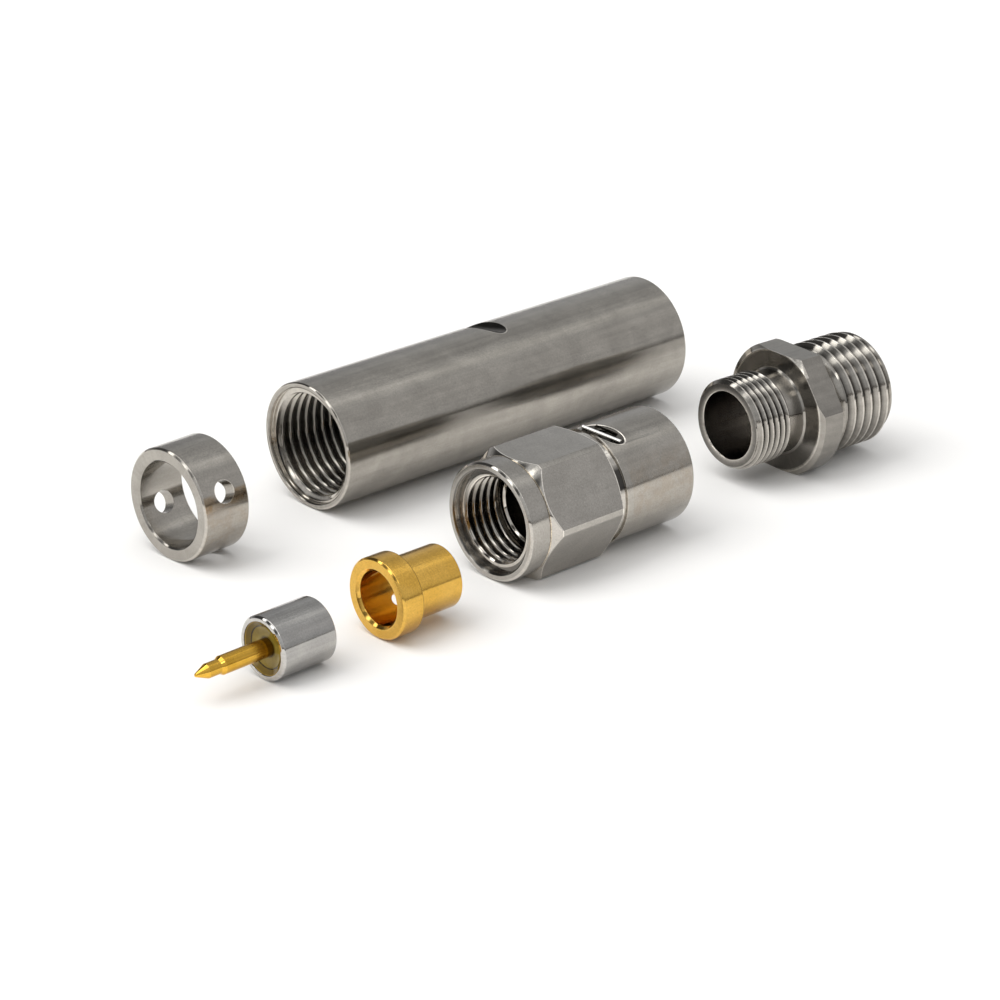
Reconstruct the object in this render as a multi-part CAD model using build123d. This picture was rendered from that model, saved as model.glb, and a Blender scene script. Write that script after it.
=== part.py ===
"""Coaxial connector kit, laid out in pieces: a swivel nut plug, a threaded adapter, a long sleeve,
a cross-drilled ring, a plated ferrule and a glass-sealed centre pin.

Millimetres, +Z up. Every piece lies on the floor z = 0 with its axis level. Each is drawn about
its own axis along +Y, with its front face at y = 0, and is then turned and put in its place.
"""
from build123d import *
from math import radians, tan
import os

# Threads: small 1/4 in by 36 to the inch, large 5/16 in by 32 to the inch
small_major_r = 6.35 / 2
small_pitch = 25.4 / 36
large_major_r = 7.9375 / 2
large_pitch = 25.4 / 32
crest_depth = 0.5413          # depth of the nut's thread as a share of its pitch
thread_lead = 0.30            # height of the cone that leads into a thread
thread_play = 0.05            # sleeve's plain mouth over the thread
mouth_play = 0.255            # nut's plain mouth over the thread
neck_play = 0.12              # plain necks against the crests of a nut's thread
small_minor_r = small_major_r - crest_depth * small_pitch
large_minor_r = large_major_r - crest_depth * large_pitch

# Clearances
run_gap = 0.06                # turning nut over the body's nose
skirt_gap = 0.03              # nut's tail in the body's skirt
end_gap = 0.05                # end faces that turn past each other
wire_gap = 0.03               # wire in its two grooves

# Coupling nut
collar_r = 3.95
collar_len = 1.72
collar_edge = 0.14
hex_across_flats = 7.94
hex_bar_r = 4.47              # the hexagon is cut from round bar, so its corners are blunt
hex_len = 6.12
hex_cone = 45.0               # slope of the hexagon's turned front, degrees
hex_back_cone = 30.0
neck_under = 0.15             # shoulder between the hexagon and the body, under the body's radius
neck_len = 0.60
nut_mouth_r = small_major_r + mouth_play
nut_mouth_depth = 0.50
nut_mouth_edge = 0.10
nut_thread_end = 3.10
tail_wall = 0.50
tail_len = 2.56

# Plug body
body_r = 3.95
skirt_wall = 0.32
body_back = 3.45              # solid length behind the nut's tail
body_edge = 0.10
nose_wall = 0.61
nose_recess = 0.40            # nose's face behind the end of the nut's thread
nose_edge = 0.14

# Retaining wire between the nut's tail and the body's skirt; its end lies straight in the window
wire_r = 0.12
wire_back = 0.80              # from the skirt's front face to the wire
wire_slit = 22.0              # degrees open between the wire's two ends
wire_lap = 6.0                # degrees that the loop runs on under its straight end
wire_end_len = 2.90
wire_end_rise = 0.125         # straight end's height over the loop
channel_back = 0.75           # nut's channel runs on behind the wire, so that it can be fed in

# Scalloped windows, milled across the plug and the sleeve
window_cutter_r = 1.25
window_under = 0.01           # window's floor under the inside of the skirt
window_turn = 8.8             # degrees about the axis, from the top towards +X
window_skew = 15.0
slot_cutter_r = 0.24          # slot through the window's floor, behind the wire
slot_under = 0.18             # slot's floor under the inside of the skirt
slot_len = 1.70
slot_back = 0.50
scallop_cutter_r = 1.14
scallop_depth = 0.44
scallop_turn = -9.6
scallop_skew = 8.0
scallop_y = 16.47

# Threaded adapter
adapter_bore_r = 2.38
adapter_back_bore_r = 3.10
adapter_back_bore_depth = 4.50
adapter_edge = 0.20
adapter_mouth_edge = 0.05
small_thread_len = 2.90
small_neck_r = small_minor_r + neck_play
small_neck_len = 1.60
flange_across_flats = 8.40
flange_flats_turn = 53.3      # degrees between the two pairs of spanner flats
flange_bar_r = 4.70
flange_face_r = 4.30          # turned circle inside the flange's rim
flange_len = 2.00
flange_cone = 30.0
flange_edge = 0.12
large_neck_r = large_minor_r - neck_play
large_neck_len = 0.75
large_thread_len = 4.75
large_edge = 0.20
fillet_r = 0.30

# Long sleeve
sleeve_wall = 0.44            # metal outside the large thread
sleeve_r = large_major_r + sleeve_wall
sleeve_len = 31.55
sleeve_mouth_r = large_major_r + thread_play
sleeve_mouth_depth = 0.35
sleeve_thread_end = 6.10
sleeve_relief_len = 0.70
sleeve_bore_step = 0.08       # bore's radius over the thread's crests
sleeve_bore_r = large_minor_r + sleeve_bore_step
sleeve_edge = 0.08
sleeve_back_edge = 0.05

# Cross-drilled ring
ring_r = 3.84
ring_bore_r = 2.90
ring_len = 3.70
ring_edge = 0.13
ring_hole_r = 0.765
ring_hole_turns = (67.4, -112.6, 157.4)

# Ferrule
ferrule_collar_r = 2.65
ferrule_collar_len = 1.60
ferrule_r = 2.08
ferrule_len = 5.25
ferrule_bore_r = 1.76
ferrule_mouth_edge = 0.20
ferrule_edge = 0.13
ferrule_back_edge = 0.06
ferrule_hole_r = 0.45
ferrule_hole_y = 2.77
ferrule_hole_turn = -137.0

# Glass-sealed pin
shell_r = 2.06
shell_len = 4.16
shell_bore_r = 1.71
shell_edge = 0.14
glass_edge_depth = 0.10       # glass below the rim at the shell's wall
glass_dish = 0.38             # and as much deeper again at the pin
glass_back_depth = 0.30
pin_r = 0.594
pin_tip_r = 0.465
pin_stem_len = 3.17           # straight stem in front of the shell's rim
pin_step = 0.22
pin_tip_len = 0.87
pin_cone_len = 0.87
pin_nose_r = 0.11

# Places on the floor: front face's centre and the piece's turn in plan, degrees
sleeve_at, sleeve_turn = (-7.79, -10.34), 0.0
plug_at, plug_turn = (9.04, -9.18), 0.0
adapter_at, adapter_turn = (8.15, 13.43), -3.5
ring_at, ring_turn = (-7.18, -22.39), 2.5
ferrule_at, ferrule_turn = (10.79, -20.09), 0.0
shell_at, shell_turn = (10.55, -28.82), 1.6


def turned(*profile):
    """Solid of revolution about Y from (radius, y) corners."""
    return revolve(make_face(Polyline(*profile, close=True)), Axis.Y, 360)


def bar(radius, start, end):
    """Round bar along Y."""
    middle = Pos(0, (start + end) / 2, 0) * Rot(90, 0, 0)
    return middle * Cylinder(radius, end - start)


def cone_cut(radius, slope, y, inwards, reach):
    """What a lathe leaves of a bar when it turns a cone that starts at radius, on the plane y."""
    rise = (reach - radius) * tan(radians(slope)) * inwards
    far = y + inwards * 100
    return turned((0, y), (radius, y), (reach, y + rise), (reach, far), (0, far))


def hexagon_bar(across_flats, start, end):
    """Hexagon bar along Y with a flat on top."""
    section = RegularPolygon(across_flats / 2, 6, major_radius=False, rotation=0)
    return extrude(Pos(0, start, 0) * Rot(90, 0, 0) * section, end - start, dir=(0, 1, 0))


def drill(radius, y, turn, length):
    """Radial drill from the axis outwards; turn runs from the top towards +X."""
    return Rot(0, turn, 0) * Pos(0, y, length / 2) * Cylinder(radius, length)


def scallop(bar_r, cutter_r, depth, y, turn, skew):
    """Round cutter laid across a bar, sunk to the given depth."""
    cutter = Rot(0, 90, 0) * Cylinder(cutter_r, 4 * bar_r)
    return Rot(0, turn, 0) * Pos(0, y, bar_r - depth + cutter_r) * Rot(0, 0, skew) * cutter


def place(piece, at, turn, height):
    return Pos(at[0], at[1], height) * Rot(0, 0, turn) * piece


# Radii of the plug, from the body's outside inwards
neck_r = body_r - neck_under
skirt_r = body_r - skirt_wall
tail_r = skirt_r - skirt_gap
nose_r = tail_r - tail_wall - run_gap
nose_bore_r = nose_r - nose_wall

# Stations along the plug, from the nut's front face
hex_back = collar_len + hex_len
body_front = hex_back + neck_len + end_gap
tail_back = body_front - end_gap + tail_len
socket_back = tail_back + 2 * end_gap
nose_front = nut_thread_end + nose_recess
body_back_y = socket_back + body_back
wire_y = body_front + wire_back
wire_ring_r = (tail_r + skirt_r) / 2


def make_coupling_nut():
    flats = hex_across_flats / 2
    collar = turned((0, 0), (collar_r - collar_edge, 0), (collar_r, collar_edge),
                    (collar_r, collar_len - collar_edge), (collar_r - collar_edge, collar_len),
                    (0, collar_len))
    hexagon = hexagon_bar(hex_across_flats, collar_len, hex_back) & bar(hex_bar_r, collar_len, hex_back)
    hexagon &= cone_cut(flats, hex_cone, collar_len, 1, 2 * hex_bar_r)
    hexagon &= cone_cut(flats, hex_back_cone, hex_back, -1, 2 * hex_bar_r)
    neck = bar(neck_r, hex_back, hex_back + neck_len)
    tail = bar(tail_r, hex_back + neck_len, tail_back)
    nut = collar + hexagon + neck + tail
    inside = turned((0, -1), (nut_mouth_r + nut_mouth_edge + 1, -1), (nut_mouth_r, nut_mouth_edge),
                    (nut_mouth_r, nut_mouth_depth), (small_minor_r + thread_lead, nut_mouth_depth),
                    (small_minor_r, nut_mouth_depth + thread_lead),
                    (small_minor_r, nut_thread_end), (nose_r + run_gap, nut_thread_end),
                    (nose_r + run_gap, tail_back + 1), (0, tail_back + 1))
    half = wire_r + 2 * wire_gap
    channel = turned((wire_ring_r - half, wire_y - half), (tail_r + 1, wire_y - half),
                     (tail_r + 1, wire_y + channel_back), (wire_ring_r - half, wire_y + channel_back))
    return nut - inside - channel


def make_plug_body():
    outside = turned((0, body_front), (body_r - body_edge / 2, body_front),
                     (body_r, body_front + body_edge / 2), (body_r, body_back_y - body_edge),
                     (body_r - body_edge, body_back_y), (0, body_back_y))
    socket = bar(skirt_r, body_front - 1, socket_back)
    nose = turned((0, nose_front), (nose_r - nose_edge, nose_front), (nose_r, nose_front + nose_edge),
                  (nose_r, socket_back + 0.5), (0, socket_back + 0.5))
    bore = turned((0, nose_front - 1), (nose_bore_r + nose_edge + 1, nose_front - 1),
                  (nose_bore_r, nose_front + nose_edge), (nose_bore_r, body_back_y - body_edge),
                  (nose_bore_r + body_edge + 1, body_back_y + 1), (0, body_back_y + 1))
    groove = Pos(0, wire_y, 0) * Rot(90, 0, 0) * Torus(wire_ring_r, wire_r + wire_gap / 3)
    window = scallop(body_r, window_cutter_r, body_r - skirt_r + window_under, wire_y, window_turn, window_skew)
    slot = Rot(0, 90, 0) * Cylinder(slot_cutter_r, slot_len)
    slot = window_plane(skirt_r - slot_under + slot_cutter_r) * Pos(0, slot_back, 0) * slot
    skirt = outside - socket - window - slot - wire_end(wire_r + wire_gap, wire_end_len + 2 * wire_gap)
    return skirt + nose - bore - groove


def window_plane(height):
    """Place at a height over the plug's axis, turned and skewed as its window is."""
    return Rot(0, window_turn, 0) * Pos(0, wire_y, height) * Rot(0, 0, window_skew)


def wire_end(radius, length):
    return window_plane(wire_ring_r + wire_end_rise) * Rot(0, 90, 0) * Cylinder(radius, length)


def make_retaining_wire():
    """Loop of round wire whose end lies straight across the window."""
    loop = Pos(0, wire_y, 0) * Rot(90, 0, 0) * Torus(wire_ring_r, wire_r)
    half = wire_ring_r * tan(radians(wire_slit / 2))
    slit = Pos(0, wire_y, wire_ring_r) * Box(2 * half, 6 * wire_r, 6 * wire_r)
    loop -= Rot(0, window_turn - wire_lap + wire_slit / 2, 0) * slit
    return loop + wire_end(wire_r, wire_end_len)


def make_threaded_adapter():
    face = small_thread_len + small_neck_len
    flange_back = face + flange_len
    neck_back = flange_back + large_neck_len
    back = neck_back + large_thread_len
    spindle = turned(
        (0, 0), (small_major_r - adapter_edge, 0), (small_major_r, adapter_edge),
        (small_major_r, small_thread_len - small_major_r + small_neck_r),
        (small_neck_r, small_thread_len), (small_neck_r, face + 0.2), (large_neck_r, face + 0.2),
        (large_neck_r, neck_back), (large_major_r, neck_back + large_major_r - large_neck_r),
        (large_major_r, back - large_edge), (large_major_r - large_edge, back), (0, back))
    corner = turned((small_neck_r - 0.1, face + 0.1), (small_neck_r - 0.1, face - fillet_r),
                    (small_neck_r, face - fillet_r), (small_neck_r + fillet_r, face),
                    (small_neck_r + fillet_r, face + 0.1))
    flats = Pos(0, (face + flange_back) / 2, 0) * Box(4 * flange_bar_r, flange_len, flange_across_flats)
    flange = bar(flange_bar_r, face, flange_back) & flats & Rot(0, flange_flats_turn, 0) * flats
    flange &= cone_cut(flange_face_r, flange_cone, face, 1, flange_across_flats)
    flange &= cone_cut(flange_bar_r - flange_edge, 45, flange_back, -1, flange_across_flats)
    step = back - adapter_back_bore_depth
    bore = turned((0, -1), (adapter_bore_r + adapter_mouth_edge + 1, -1),
                  (adapter_bore_r, adapter_mouth_edge), (adapter_bore_r, step),
                  (adapter_back_bore_r, step), (adapter_back_bore_r, back + 1), (0, back + 1))
    return spindle + flange + corner - bore


def make_long_sleeve():
    edge = sleeve_edge
    tube = turned((0, 0), (sleeve_r - edge, 0), (sleeve_r, edge), (sleeve_r, sleeve_len - sleeve_back_edge),
                  (sleeve_r - sleeve_back_edge, sleeve_len), (0, sleeve_len))
    relief_back = sleeve_thread_end + sleeve_relief_len
    inside = turned((0, -1), (sleeve_mouth_r + edge + 1, -1), (sleeve_mouth_r, edge),
                    (sleeve_mouth_r, sleeve_mouth_depth),
                    (large_minor_r + thread_lead, sleeve_mouth_depth),
                    (large_minor_r, sleeve_mouth_depth + thread_lead),
                    (large_minor_r, sleeve_thread_end), (large_major_r, sleeve_thread_end),
                    (large_major_r, relief_back), (sleeve_bore_r, relief_back),
                    (sleeve_bore_r, sleeve_len + 1), (0, sleeve_len + 1))
    cut = scallop(sleeve_r, scallop_cutter_r, scallop_depth, scallop_y, scallop_turn, scallop_skew)
    return tube - inside - cut


def make_cross_drilled_ring():
    edge = ring_edge
    ring = turned((ring_bore_r + edge, 0), (ring_r - edge, 0), (ring_r, edge), (ring_r, ring_len - edge),
                  (ring_r - edge, ring_len), (ring_bore_r + edge, ring_len),
                  (ring_bore_r, ring_len - edge), (ring_bore_r, edge))
    for turn in ring_hole_turns:
        ring -= drill(ring_hole_r, ring_len / 2, turn, ring_r + 1)
    return ring


def make_ferrule():
    edge = ferrule_edge
    ferrule = turned(
        (ferrule_bore_r + ferrule_mouth_edge, 0), (ferrule_collar_r - edge, 0), (ferrule_collar_r, edge),
        (ferrule_collar_r, ferrule_collar_len - edge / 3),
        (ferrule_collar_r - edge / 3, ferrule_collar_len), (ferrule_r, ferrule_collar_len),
        (ferrule_r, ferrule_len - ferrule_back_edge), (ferrule_r - ferrule_back_edge, ferrule_len),
        (ferrule_bore_r, ferrule_len), (ferrule_bore_r, ferrule_mouth_edge))
    return ferrule - drill(ferrule_hole_r, ferrule_hole_y, ferrule_hole_turn, ferrule_r + 1)


def make_seal_shell():
    edge = shell_edge
    return turned((shell_bore_r, 0), (shell_r - edge, 0), (shell_r, edge), (shell_r, shell_len - edge / 2),
                  (shell_r - edge / 2, shell_len), (shell_bore_r, shell_len))


def make_glass_bead():
    """Glass between shell and pin, dished at the front where it wets both."""
    deep = glass_edge_depth + glass_dish
    back = shell_len - glass_back_depth
    front = ThreePointArc((pin_r, deep - 0.06), ((pin_r + shell_bore_r) / 2, deep),
                          (shell_bore_r, glass_edge_depth))
    rest = Polyline((shell_bore_r, glass_edge_depth), (shell_bore_r, back), (pin_r, back), (pin_r, deep - 0.06))
    return revolve(make_face(front + rest), Axis.Y, 360)


def make_centre_pin():
    step_y = -pin_stem_len - pin_step
    tip_y = step_y - pin_tip_len
    end_y = tip_y - pin_cone_len
    return turned((0, end_y), (pin_nose_r * 0.6, end_y), (pin_nose_r, end_y + pin_nose_r * 0.5),
                  (pin_tip_r, tip_y), (pin_tip_r, step_y), (pin_r, -pin_stem_len), (pin_r, shell_len),
                  (0, shell_len))


def make_all():
    """Every piece in its place, by node name."""
    plug_h = hex_across_flats / 2
    adapter_h = flange_across_flats / 2
    plug = {"coupling_nut": make_coupling_nut(), "plug_body": make_plug_body(),
            "retaining_wire": make_retaining_wire()}
    pieces = {name: place(piece, plug_at, plug_turn, plug_h) for name, piece in plug.items()}
    pieces["threaded_adapter"] = place(make_threaded_adapter(), adapter_at, adapter_turn, adapter_h)
    pieces["long_sleeve"] = place(make_long_sleeve(), sleeve_at, sleeve_turn, sleeve_r)
    pieces["cross_drilled_ring"] = place(make_cross_drilled_ring(), ring_at, ring_turn, ring_r)
    pieces["ferrule"] = place(make_ferrule(), ferrule_at, ferrule_turn, ferrule_collar_r)
    seal = {"seal_shell": make_seal_shell(), "glass_bead": make_glass_bead(), "centre_pin": make_centre_pin()}
    for name, piece in seal.items():
        pieces[name] = place(piece, shell_at, shell_turn, shell_r)
    return pieces


def centred(pieces):
    """Move the whole kit so that the middle of its outline in plan is the origin."""
    box = Compound(children=[Compound(piece.solids()) for piece in pieces.values()]).bounding_box()
    shift = Pos(-(box.min.X + box.max.X) / 2, -(box.min.Y + box.max.Y) / 2, 0)
    return {name: shift * piece for name, piece in pieces.items()}


if __name__ == "__main__":
    os.makedirs("parts", exist_ok=True)
    for name, piece in centred(make_all()).items():
        export_step(piece, f"parts/{name}.step")
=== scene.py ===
import math

import bpy
import bmesh
import numpy as np
from mathutils import Matrix, Vector


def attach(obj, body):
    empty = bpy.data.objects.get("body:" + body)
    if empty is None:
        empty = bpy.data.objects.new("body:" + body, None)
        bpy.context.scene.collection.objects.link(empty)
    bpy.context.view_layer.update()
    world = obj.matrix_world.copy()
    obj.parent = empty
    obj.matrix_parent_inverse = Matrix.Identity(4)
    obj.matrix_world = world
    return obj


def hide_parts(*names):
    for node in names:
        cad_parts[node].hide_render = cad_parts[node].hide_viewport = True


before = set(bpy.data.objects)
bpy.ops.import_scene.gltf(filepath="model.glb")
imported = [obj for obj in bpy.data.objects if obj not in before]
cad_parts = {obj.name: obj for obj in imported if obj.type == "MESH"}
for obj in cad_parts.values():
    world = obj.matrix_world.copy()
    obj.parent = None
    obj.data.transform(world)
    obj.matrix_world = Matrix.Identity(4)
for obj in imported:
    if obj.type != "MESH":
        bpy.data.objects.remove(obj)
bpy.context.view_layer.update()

# Coaxial connector kit in its places on the floor. Sizes are in millimetres, as on a drawing,
# and each piece is drawn about its own axis along +Y with its front face at y = 0.
MM = 0.001
TURN = 2 * math.pi

# Front face's centre, height of the axis and turn in plan of each piece; the frame has its origin
# at MIDDLE
MIDDLE = (0.655, -4.156)
PLACES = {
    "sleeve": (-7.79, -10.34, 4.40875, 0.0),
    "plug": (9.04, -9.18, 3.97, 0.0),
    "adapter": (8.15, 13.43, 4.20, -3.5),
    "ring": (-7.18, -22.39, 3.84, 2.5),
    "ferrule": (10.79, -20.09, 2.65, 0.0),
    "seal": (10.55, -28.82, 2.06, 1.6),
}
# The two standard threads, 1/4 in by 36 and 5/16 in by 32 to the inch: radius over the crests, and
# radius inside the crests of a nut
INCH = 25.4
NUT_DEPTH = 0.5413
SMALL_R, LARGE_R = INCH / 8, 5 * INCH / 32
SMALL_MINOR, LARGE_MINOR = SMALL_R - NUT_DEPTH * INCH / 36, LARGE_R - NUT_DEPTH * INCH / 32

# Pitch of each thread as it shows, and crest, root and depth of the inner form with its rounded
# flanks and of the outer one with its straight flanks, as shares of the pitch
NUT_PITCH, SLEEVE_PITCH, FRONT_PITCH, BACK_PITCH = 0.62, 0.70, 0.50, 0.774
INNER = (0.12, 0.06, 0.50)
OUTER = (0.13, 0.06, 0.50)
INNER_ROWS = 14


def where(piece):
    """Matrix that puts a piece drawn in millimetres in its place."""
    x, y, z, turn = PLACES[piece]
    spot = Vector((x - MIDDLE[0], y - MIDDLE[1], z)) * MM
    return Matrix.Translation(spot) @ Matrix.Rotation(math.radians(turn), 4, "Z") @ Matrix.Scale(MM, 4)


# ---- turned bodies ----

def softened(profile):
    """Closed (radius, y, edge) profile whose corners are eased by their edge size."""
    out = []
    n = len(profile)
    for i, (r, y, e) in enumerate(profile):
        p = np.array((r, y))
        if e <= 0:
            out.append(p)
            continue
        a, b = (np.array(profile[i - 1][:2]), np.array(profile[(i + 1) % n][:2]))
        la, lb = np.linalg.norm(a - p), np.linalg.norm(b - p)
        ta, tb = min(e, 0.45 * la), min(e, 0.45 * lb)
        pa = p + (a - p) * (ta / la if la > 0 else 0)
        pb = p + (b - p) * (tb / lb if lb > 0 else 0)
        for t in np.linspace(0, 1, 6):
            out.append((1 - t) ** 2 * pa + 2 * t * (1 - t) * p + t * t * pb)
    return np.array(out)


def angles_of(count, extra=()):
    base = {round(TURN * i / count, 9) for i in range(count)}
    return np.array(sorted(base | {round(a % TURN, 9) for a in extra}) + [TURN])


def thread_rows(start, end, pitch, angle, form, first=None):
    """Heights of the rows that climb with the thread, held between its two ends."""
    first = start if first is None else first
    crest, root = form[:2]
    if form is INNER:
        steps = list(np.arange(INNER_ROWS) / INNER_ROWS)
    else:
        corners = (crest / 2, 0.5 - root / 2, 0.5 + root / 2, 1 - crest / 2)
        steps = sorted({0.0, 0.5} | {c + e for c in corners for e in (-0.02, 0.0, 0.02)}
                       | {(corners[0] + corners[1]) / 2, (corners[2] + corners[3]) / 2})
    lowest = int(math.floor((start - first) / pitch)) - 1
    highest = int(math.ceil((end - first) / pitch)) + 1
    steps = np.concatenate([np.array(steps) + t for t in range(lowest, highest)] + [[highest]])
    return np.clip(first + pitch * (steps + angle / TURN), start, end)


def body_mesh(name, section, angles):
    """Closed mesh from section(angle) -> (N, 4): radius, y, thread share, radius off the crest."""
    grid = np.array([section(a) for a in angles])
    cols, rows = grid.shape[:2]
    r, y = grid[..., 0], grid[..., 1]
    a = angles[:, None]
    xyz = np.stack([r * np.sin(a), y, r * np.cos(a)], -1).reshape(-1, 3)
    _, first, back = np.unique(np.round(xyz, 5), axis=0, return_index=True, return_inverse=True)
    back = back.reshape(cols, rows)
    nxt = np.roll(np.arange(rows), -1)
    faces = []
    for c in range(cols - 1):
        quad = np.stack([back[c], back[c + 1], back[c + 1][nxt], back[c][nxt]], -1)
        for q in quad:
            f = [int(q[i]) for i in range(4) if q[i] != q[i - 1]]
            if len(f) >= 3 and len(set(f)) == len(f):
                faces.append(f)
    points = xyz[first]
    t = np.array([(f[0], f[i], f[i + 1]) for f in faces for i in range(1, len(f) - 1)])
    volume = np.sum(points[t[:, 0]] * np.cross(points[t[:, 1]], points[t[:, 2]]))
    if volume < 0:
        faces = [f[::-1] for f in faces]
    mesh = bpy.data.meshes.new(name)
    mesh.from_pydata(points.tolist(), [], faces)
    for label, column in (("thread", 2), ("relief", 3)):
        values = grid[..., column].reshape(-1)[first].astype(np.float32)
        mesh.attributes.new(label, "FLOAT", "POINT").data.foreach_set("value", values)
    mesh.update()
    obj = bpy.data.objects.new(name, mesh)
    bpy.context.scene.collection.objects.link(obj)
    return obj


def plain(points):
    """Section rows with no thread."""
    return np.concatenate([points, np.zeros((len(points), 2))], 1)


def turned(name, profile, count=192):
    rows = plain(softened(profile))
    return body_mesh(name, lambda a: rows, angles_of(count))


def settle(obj):
    """Modifiers' result as a plain mesh object."""
    bpy.context.view_layer.update()
    dg = bpy.context.evaluated_depsgraph_get()
    mesh = bpy.data.meshes.new_from_object(obj.evaluated_get(dg), preserve_all_data_layers=False,
                                           depsgraph=dg)
    old, name = obj.data, obj.name
    if isinstance(old, bpy.types.Curve):
        bpy.data.objects.remove(obj)
        bpy.data.curves.remove(old)
        obj = bpy.data.objects.new(name, mesh)
        bpy.context.scene.collection.objects.link(obj)
        return obj
    obj.modifiers.clear()
    obj.data = mesh
    bpy.data.meshes.remove(old)
    mesh.name = name
    return obj


def cut(obj, *cutters):
    for c in cutters:
        m = obj.modifiers.new("cut", "BOOLEAN")
        m.operation, m.solver, m.object = "DIFFERENCE", "EXACT", c
    settle(obj)
    for c in cutters:
        data = c.data
        bpy.data.objects.remove(c)
        bpy.data.meshes.remove(data)
    return obj


def round_cutter(tool, length, count=128):
    """Bar for a round tool that lies along its own X; a tool is its place and its radius."""
    place, radius = tool
    bm = bmesh.new()
    bmesh.ops.create_cone(bm, cap_ends=True, segments=count, radius1=radius, radius2=radius,
                          depth=length)
    mesh = bpy.data.meshes.new("tool")
    bm.to_mesh(mesh)
    bm.free()
    mesh.transform(place @ Matrix.Rotation(math.pi / 2, 4, "Y"))
    obj = bpy.data.objects.new("tool", mesh)
    bpy.context.scene.collection.objects.link(obj)
    obj.hide_render = True
    return obj


def across(height, y, turn, skew=0.0, slide=0.0):
    """Place of a tool laid across a bar; turn runs from the top towards +X, degrees."""
    return (Matrix.Rotation(math.radians(turn), 4, "Y") @ Matrix.Translation((0, y, height))
            @ Matrix.Rotation(math.radians(skew), 4, "Z") @ Matrix.Translation((0, slide, 0)))


def drilled(y, turn, height=0.0):
    """Place of a tool that points at a bar's axis."""
    return (Matrix.Rotation(math.radians(turn), 4, "Y") @ Matrix.Translation((0, y, height))
            @ Matrix.Rotation(-math.pi / 2, 4, "Y"))


def drill(radius, y, turn, inner, outer):
    return round_cutter((drilled(y, turn, (inner + outer) / 2), radius), outer - inner, 64)


# ---- node trees ----

def add(tree, kind, ins=None, **props):
    """Node whose inputs are linked where a socket is given and set where a value is."""
    n = tree.nodes.new(kind)
    for k, v in props.items():
        setattr(n, k, v)
    for k, v in (ins or {}).items():
        if isinstance(v, bpy.types.NodeSocket):
            tree.links.new(v, n.inputs[k])
        else:
            n.inputs[k].default_value = v
    return n


def math_node(tree, operation, a, b=None):
    ins = {0: a} if b is None else {0: a, 1: b}
    return add(tree, "ShaderNodeMath", ins, operation=operation).outputs[0]


def span(t, value, low, high, to_low, to_high):
    """Straight line between two values, held beyond them."""
    return add(t, "ShaderNodeMapRange", {"Value": value, "From Min": low, "From Max": high,
                                         "To Min": to_low, "To Max": to_high}, clamp=True).outputs[0]


def geometry_tree(name, inputs):
    """Empty tree from Geometry and its named inputs to Geometry, with its two end nodes."""
    t = bpy.data.node_groups.new(name, "GeometryNodeTree")
    for label, kind in [("Geometry", "Geometry")] + inputs:
        t.interface.new_socket(label, in_out="INPUT", socket_type="NodeSocket" + kind)
    t.interface.new_socket("Geometry", in_out="OUTPUT", socket_type="NodeSocketGeometry")
    return t, add(t, "NodeGroupInput"), add(t, "NodeGroupOutput")


def end_tree(t, i, o, shape):
    """Ends a tree with its shape as real geometry that wears its finish."""
    real = add(t, "GeometryNodeRealizeInstances", {0: shape.outputs[0]})
    dressed = add(t, "GeometryNodeSetMaterial", {"Geometry": real.outputs[0],
                                                 "Material": i.outputs["Finish"]})
    t.links.new(dressed.outputs[0], o.inputs[0])
    return t


def thread_tool():
    """Cuts a thread into the rows that carry it: radial depth by height and angle."""
    t, i, o = geometry_tree("cut_thread", [("Pitch", "Float"), ("Depth", "Float"), ("Start", "Float"),
                                           ("Crest share", "Float"), ("Root share", "Float"),
                                           ("Rounding", "Float"), ("Side", "Float"),
                                           ("Finish", "Material")])
    pos = add(t, "ShaderNodeSeparateXYZ", {0: add(t, "GeometryNodeInputPosition").outputs[0]})
    angle = math_node(t, "DIVIDE", math_node(t, "ARCTAN2", pos.outputs[0], pos.outputs[2]), TURN)
    climb = math_node(t, "SUBTRACT", pos.outputs[1], i.outputs["Start"])
    climb = math_node(t, "DIVIDE", climb, i.outputs["Pitch"])
    phase = math_node(t, "FRACT", math_node(t, "ADD", math_node(t, "SUBTRACT", climb, angle), 8.0))
    off_root = math_node(t, "ABSOLUTE", math_node(t, "SUBTRACT", phase, 0.5))
    off_root = math_node(t, "MULTIPLY", off_root, 2.0)
    high = math_node(t, "SUBTRACT", 1.0, i.outputs["Crest share"])
    share = span(t, off_root, i.outputs["Root share"], high, 1.0, 0.0)
    eased = add(t, "ShaderNodeMapRange", {"Value": share}, clamp=True, interpolation_type="SMOOTHSTEP")
    flank = add(t, "ShaderNodeMix", {0: i.outputs["Rounding"], 2: share, 3: eased.outputs[0]})
    named = {k: add(t, "GeometryNodeInputNamedAttribute", {"Name": k}, data_type="FLOAT").outputs[0]
             for k in ("thread", "relief")}
    depth = math_node(t, "MULTIPLY", flank.outputs[0], i.outputs["Depth"])
    depth = math_node(t, "SUBTRACT", depth, named["relief"])
    depth = math_node(t, "MULTIPLY", math_node(t, "MAXIMUM", depth, 0.0), named["thread"])
    depth = math_node(t, "MULTIPLY", depth, i.outputs["Side"])
    flat = add(t, "ShaderNodeCombineXYZ", {0: pos.outputs[0], 2: pos.outputs[2]})
    way = add(t, "ShaderNodeVectorMath", {0: flat.outputs[0]}, operation="NORMALIZE")
    move = add(t, "ShaderNodeVectorMath", {0: way.outputs[0], "Scale": depth}, operation="SCALE")
    put = add(t, "GeometryNodeSetPosition", {"Geometry": i.outputs["Geometry"],
                                             "Offset": move.outputs[0]})
    return end_tree(t, i, o, put)


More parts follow.
